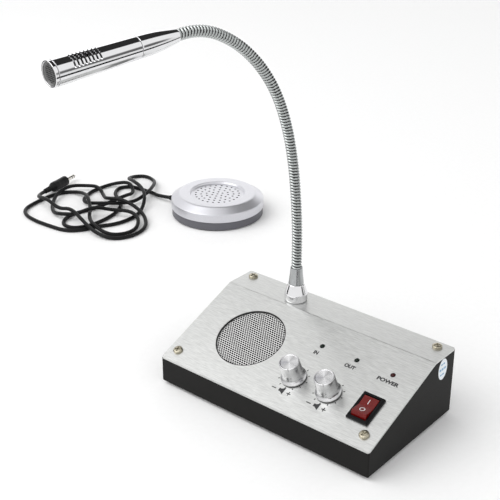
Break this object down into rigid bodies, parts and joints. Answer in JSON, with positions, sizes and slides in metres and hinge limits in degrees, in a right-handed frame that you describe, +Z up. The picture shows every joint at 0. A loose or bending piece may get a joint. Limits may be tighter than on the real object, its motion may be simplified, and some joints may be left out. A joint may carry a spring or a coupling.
{
  "type": "teller window intercom",
  "caption": "Wedge-shaped desk console with a gooseneck microphone, grille, volume knobs and rocker switch, and a round window speaker unit on a cord with a plug.",
  "frame": {"origin": "under the middle of the box of all pieces but the cord and its plug, on the surface that the console and the window unit stand on", "axes": "+Z up, +X to the right seen from the console's front, +Y to its rear, out of the socket"},
  "size_m": [0.4799, 0.3668, 0.2481],
  "materials": {
    "black_steel": "fine matte powder coat",
    "brushed_plate": "brushed along the console's width",
    "screw_nickel": "satin",
    "grille_steel": "satin",
    "black_rubber": "matte",
    "plated_steel": "satin",
    "cone_paper": "matte",
    "ferrite": "matte",
    "knob_aluminium": "machined, conic highlights",
    "led_green": "gloss",
    "led_red": "gloss",
    "black_plastic": "satin",
    "rocker_red": "gloss",
    "terminal_brass": "satin",
    "neck_chrome": "polished",
    "sleeve_steel": "satin",
    "mesh_dark": "satin",
    "board_green": "satin",
    "component_black": "matte",
    "label_white": "satin",
    "puck_silver": "satin metallic paint",
    "puck_grey": "satin",
    "cord_black": "satin",
    "plug_nickel": "polished"
  },
  "bodies": {
    "console": {"housing": "black_steel", "housing_sides": "black_steel", "faceplate": "brushed_plate", "panel_screws": "screw_nickel", "speaker_mesh": "grille_steel", "speaker_gasket": "black_rubber", "speaker_basket": "plated_steel", "speaker_cone": "cone_paper", "speaker_magnet": "ferrite", "speaker_clamp_ring": "plated_steel", "volume_pots": "plated_steel", "pot_fixings": "plated_steel", "led_in": "led_green", "led_out": "led_green", "led_power": "led_red", "led_holders": "black_plastic", "switch_body": "black_plastic", "switch_pin": "plated_steel", "switch_terminals": "terminal_brass", "neck_stud": "plated_steel", "neck_dome_nut": "neck_chrome", "neck_sleeve": "sleeve_steel", "neck_fixings": "plated_steel", "neck_link_1": "neck_chrome", "amp_board": "board_green", "board_fixings": "plated_steel", "board_components": "component_black", "power_inlet": "black_plastic", "window_socket": "black_plastic", "socket_nut": "plated_steel", "rubber_feet": "black_rubber", "side_label": "label_white", "puck_cover": "puck_silver", "puck_base": "puck_grey", "puck_grommet": "black_rubber", "puck_pad": "black_rubber", "puck_speaker": "component_black", "puck_mic": "plated_steel", "cord": "cord_black", "plug_body": "black_plastic", "plug_contact": "plug_nickel"},
    "in_knob": {"knob_in": "knob_aluminium", "pot_shaft_in": "plated_steel"},
    "out_knob": {"knob_out": "knob_aluminium", "pot_shaft_out": "plated_steel"},
    "rocker": {"switch_rocker": "rocker_red"},
    "neck_2": {"neck_link_2": "neck_chrome"},
    "neck_3": {"neck_link_3": "neck_chrome"},
    "neck_4": {"neck_link_4": "neck_chrome"},
    "neck_5": {"neck_link_5": "neck_chrome"},
    "neck_6": {"neck_link_6": "neck_chrome"},
    "neck_7": {"neck_link_7": "neck_chrome"},
    "neck_8": {"neck_link_8": "neck_chrome"},
    "microphone": {"neck_link_9": "neck_chrome", "mic_cone": "neck_chrome", "mic_tube": "neck_chrome", "mic_bezel": "neck_chrome", "mic_mesh": "mesh_dark", "mic_capsule_seat": "black_rubber", "mic_capsule": "plated_steel"}
  },
  "joints": [
    {"name": "in_volume", "type": "hinge", "parent": "console", "child": "in_knob", "pos_m": [0.11228, -0.06671, 0.03002], "axis": [0, -0.3702, 0.9289], "range_deg": [0, 300]},
    {"name": "out_volume", "type": "hinge", "parent": "console", "child": "out_knob", "pos_m": [0.13901, -0.06671, 0.03002], "axis": [0, -0.3702, 0.9289], "range_deg": [0, 300]},
    {"name": "power_rocker", "type": "hinge", "parent": "console", "child": "rocker", "pos_m": [0.16653, -0.06662, 0.02898], "axis": [1, 0, 0], "range_deg": [0, 17.5]},
    {"name": "neck_bend", "type": "hinge", "parent": "console", "child": "neck_2", "pos_m": [0.07054, -0.01158, 0.086], "axis": [0.9848, -0.1736, 0], "range_deg": [-15, 12]},
    {"name": "neck_bend_2", "type": "hinge", "parent": "neck_2", "child": "neck_3", "pos_m": [0.07039, -0.01244, 0.11098], "axis": [0.9848, -0.1736, 0], "range_deg": [-15, 12]},
    {"name": "neck_side", "type": "hinge", "parent": "neck_3", "child": "neck_4", "pos_m": [0.06997, -0.0148, 0.13586], "axis": [-0.1724, -0.9775, -0.1219], "range_deg": [-15, 15]},
    {"name": "neck_bend_3", "type": "hinge", "parent": "neck_4", "child": "neck_5", "pos_m": [0.06924, -0.01897, 0.16049], "axis": [0.9848, -0.1736, 0], "range_deg": [-15, 12]},
    {"name": "neck_bend_4", "type": "hinge", "parent": "neck_5", "child": "neck_6", "pos_m": [0.06799, -0.02606, 0.18441], "axis": [0.9848, -0.1736, 0], "range_deg": [-15, 12]},
    {"name": "neck_side_2", "type": "hinge", "parent": "neck_6", "child": "neck_7", "pos_m": [0.06599, -0.0374, 0.20654], "axis": [-0.144, -0.8164, -0.5592], "range_deg": [-15, 15]},
    {"name": "neck_bend_5", "type": "hinge", "parent": "neck_7", "child": "neck_8", "pos_m": [0.06313, -0.05359, 0.22528], "axis": [0.9848, -0.1736, 0], "range_deg": [-15, 12]},
    {"name": "neck_bend_6", "type": "hinge", "parent": "neck_8", "child": "microphone", "pos_m": [0.05952, -0.07406, 0.23904], "axis": [0.9848, -0.1736, 0], "range_deg": [-15, 12]}
  ]
}
